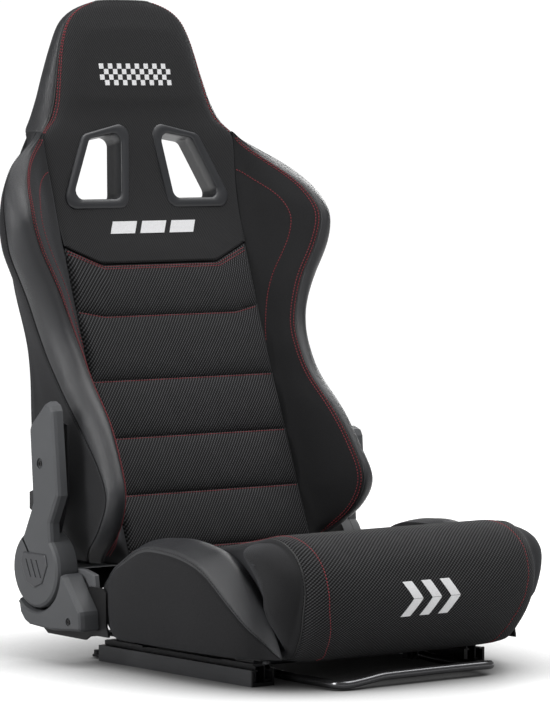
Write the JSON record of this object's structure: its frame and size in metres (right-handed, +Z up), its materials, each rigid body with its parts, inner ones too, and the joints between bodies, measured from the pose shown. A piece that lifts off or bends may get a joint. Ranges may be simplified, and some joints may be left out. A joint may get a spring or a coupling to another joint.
{
  "type": "reclining racing seat",
  "caption": "Black fabric bucket seat with side bolsters, harness slots, a reclining backrest with grey hinge covers, and slider rails with a front release bar.",
  "frame": {"origin": "centre of the four rail bolt holes, at the underside of the rails", "axes": "+Z up, +X towards the sitter's left, -Y the way the seat faces"},
  "size_m": [0.5678, 0.7274, 0.909],
  "materials": {
    "rail_black": "satin",
    "rail_dark": "satin",
    "cap_plastic": "matte",
    "glide_plastic": "satin",
    "zinc": "satin",
    "cover_grey": "matte",
    "badge_grey": "satin",
    "fabric_black": "matte",
    "mesh_black": "matte",
    "leather_black": "satin",
    "bezel_black": "satin",
    "bar_black": "gloss"
  },
  "bodies": {
    "rails": {"lower_rail_left": "rail_black", "lower_rail_right": "rail_black", "rail_end_caps": "cap_plastic", "rail_rear_tabs": "rail_black"},
    "seat_base": {"upper_rail_left": "rail_dark", "upper_rail_right": "rail_dark", "rail_glides": "glide_plastic", "front_risers": "rail_black", "rear_risers": "rail_black", "riser_bolts": "zinc", "seat_side_bars": "rail_black", "base_cross_tubes": "rail_black", "cushion_pan": "rail_black", "handle_brackets": "rail_black", "recliner_lower_plate_left": "rail_dark", "recliner_lower_plate_right": "rail_dark", "recliner_base_cover_left": "cover_grey", "recliner_base_cover_right": "cover_grey", "base_cover_screws": "zinc", "seat_cushion": "fabric_black", "thigh_bolster_left": "leather_black", "thigh_bolster_right": "leather_black"},
    "backrest": {"back_frame": "rail_dark", "lumbar_wires": "zinc", "recliner_arm_left": "rail_dark", "recliner_arm_right": "rail_dark", "recliner_back_cover_left": "cover_grey", "recliner_back_cover_right": "cover_grey", "hinge_badges": "badge_grey", "back_cover_screws": "zinc", "back_insert": "mesh_black", "chest_panel": "fabric_black", "head_pad": "fabric_black", "back_bolster_left": "leather_black", "back_bolster_right": "leather_black", "back_cover": "fabric_black", "harness_bezel_left": "bezel_black", "harness_bezel_right": "bezel_black", "harness_rear_bezels": "bezel_black"},
    "recline_lever": {"recline_rod": "zinc", "recline_lever": "rail_dark", "lever_grip": "cover_grey"},
    "slide_handle": {"slide_bar": "bar_black", "slide_latches": "zinc"}
  },
  "joints": [
    {"name": "seat_slide", "type": "slide", "parent": "rails", "child": "seat_base", "axis": [0, 1, 0], "range_m": [-0.09, 0.09]},
    {"name": "recline", "type": "hinge", "parent": "seat_base", "child": "backrest", "pos_m": [0, 0.225, 0.127], "axis": [1, 0, 0], "range_deg": [-55, 15]},
    {"name": "recline_lever", "type": "hinge", "parent": "seat_base", "child": "recline_lever", "pos_m": [0, 0.225, 0.127], "axis": [1, 0, 0], "range_deg": [-15, 0], "stiffness_Nm_per_rad": 1.2, "springref_deg": 20.05},
    {"name": "slide_handle", "type": "hinge", "parent": "seat_base", "child": "slide_handle", "pos_m": [0, -0.1, 0.012], "axis": [1, 0, 0], "range_deg": [-5, 0], "stiffness_Nm_per_rad": 8, "springref_deg": 17.19}
  ]
}
